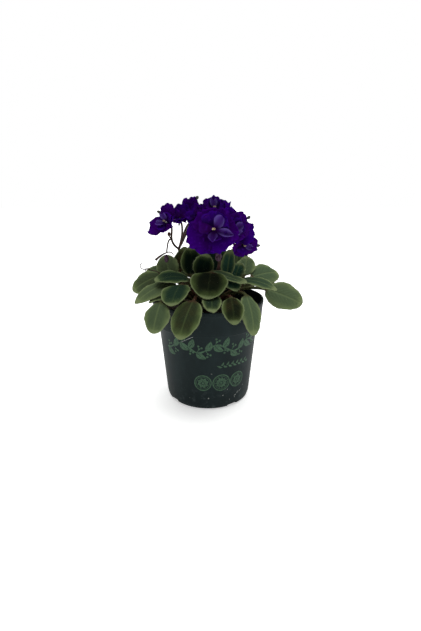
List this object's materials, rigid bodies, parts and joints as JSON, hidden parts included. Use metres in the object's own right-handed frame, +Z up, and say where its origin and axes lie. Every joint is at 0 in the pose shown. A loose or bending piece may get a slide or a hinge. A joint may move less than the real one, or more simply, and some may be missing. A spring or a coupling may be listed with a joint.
{
  "type": "potted african violet",
  "caption": "African violet in a thin round plastic nursery pot: a rosette of velvety oval leaves with ruffled semi-double violet blooms on branched stalks. Stands free.",
  "frame": {"origin": "centre of the pot's flat underside, at the base mount", "axes": "+Z up along the pot's axis; -Y towards the front bloom and the printed side of the pot; +X to the right seen from the front"},
  "size_m": [0.1371, 0.1209, 0.1631],
  "materials": {
    "pot": "satin",
    "soil": "matte",
    "crown": "matte",
    "leaf": "matte",
    "stalk": "matte",
    "petal": "matte",
    "anther": "matte"
  },
  "bodies": {
    "root": {"anthers_front": "anther", "anthers_left": "anther", "anthers_low": "anther", "anthers_right": "anther", "anthers_top": "anther", "bud": "petal", "corolla_back": "petal", "corolla_back_left": "petal", "corolla_front": "petal", "corolla_left": "petal", "corolla_low": "petal", "corolla_middle": "petal", "corolla_right": "petal", "corolla_top": "petal", "crown": "crown", "leaf_back_1": "leaf", "leaf_back_10": "leaf", "leaf_back_2": "leaf", "leaf_back_3": "leaf", "leaf_back_4": "leaf", "leaf_back_5": "leaf", "leaf_back_6": "leaf", "leaf_back_7": "leaf", "leaf_back_8": "leaf", "leaf_back_9": "leaf", "leaf_front_1": "leaf", "leaf_front_2": "leaf", "leaf_front_3": "leaf", "leaf_front_4": "leaf", "leaf_front_5": "leaf", "leaf_front_6": "leaf", "leaf_front_7": "leaf", "leaf_front_8": "leaf", "leaf_inner_1": "leaf", "leaf_inner_2": "leaf", "leaf_inner_3": "leaf", "leaf_inner_4": "leaf", "leaf_inner_5": "leaf", "leaf_inner_6": "leaf", "leaf_left_1": "leaf", "leaf_left_2": "leaf", "leaf_left_3": "leaf", "leaf_left_4": "leaf", "leaf_left_5": "leaf", "leaf_right_1": "leaf", "leaf_right_2": "leaf", "leaf_right_3": "leaf", "leaf_right_4": "leaf", "pot": "pot", "soil": "soil", "stalk_centre": "stalk", "stalk_left": "stalk", "stalk_right": "stalk"}
  },
  "joints": []
}
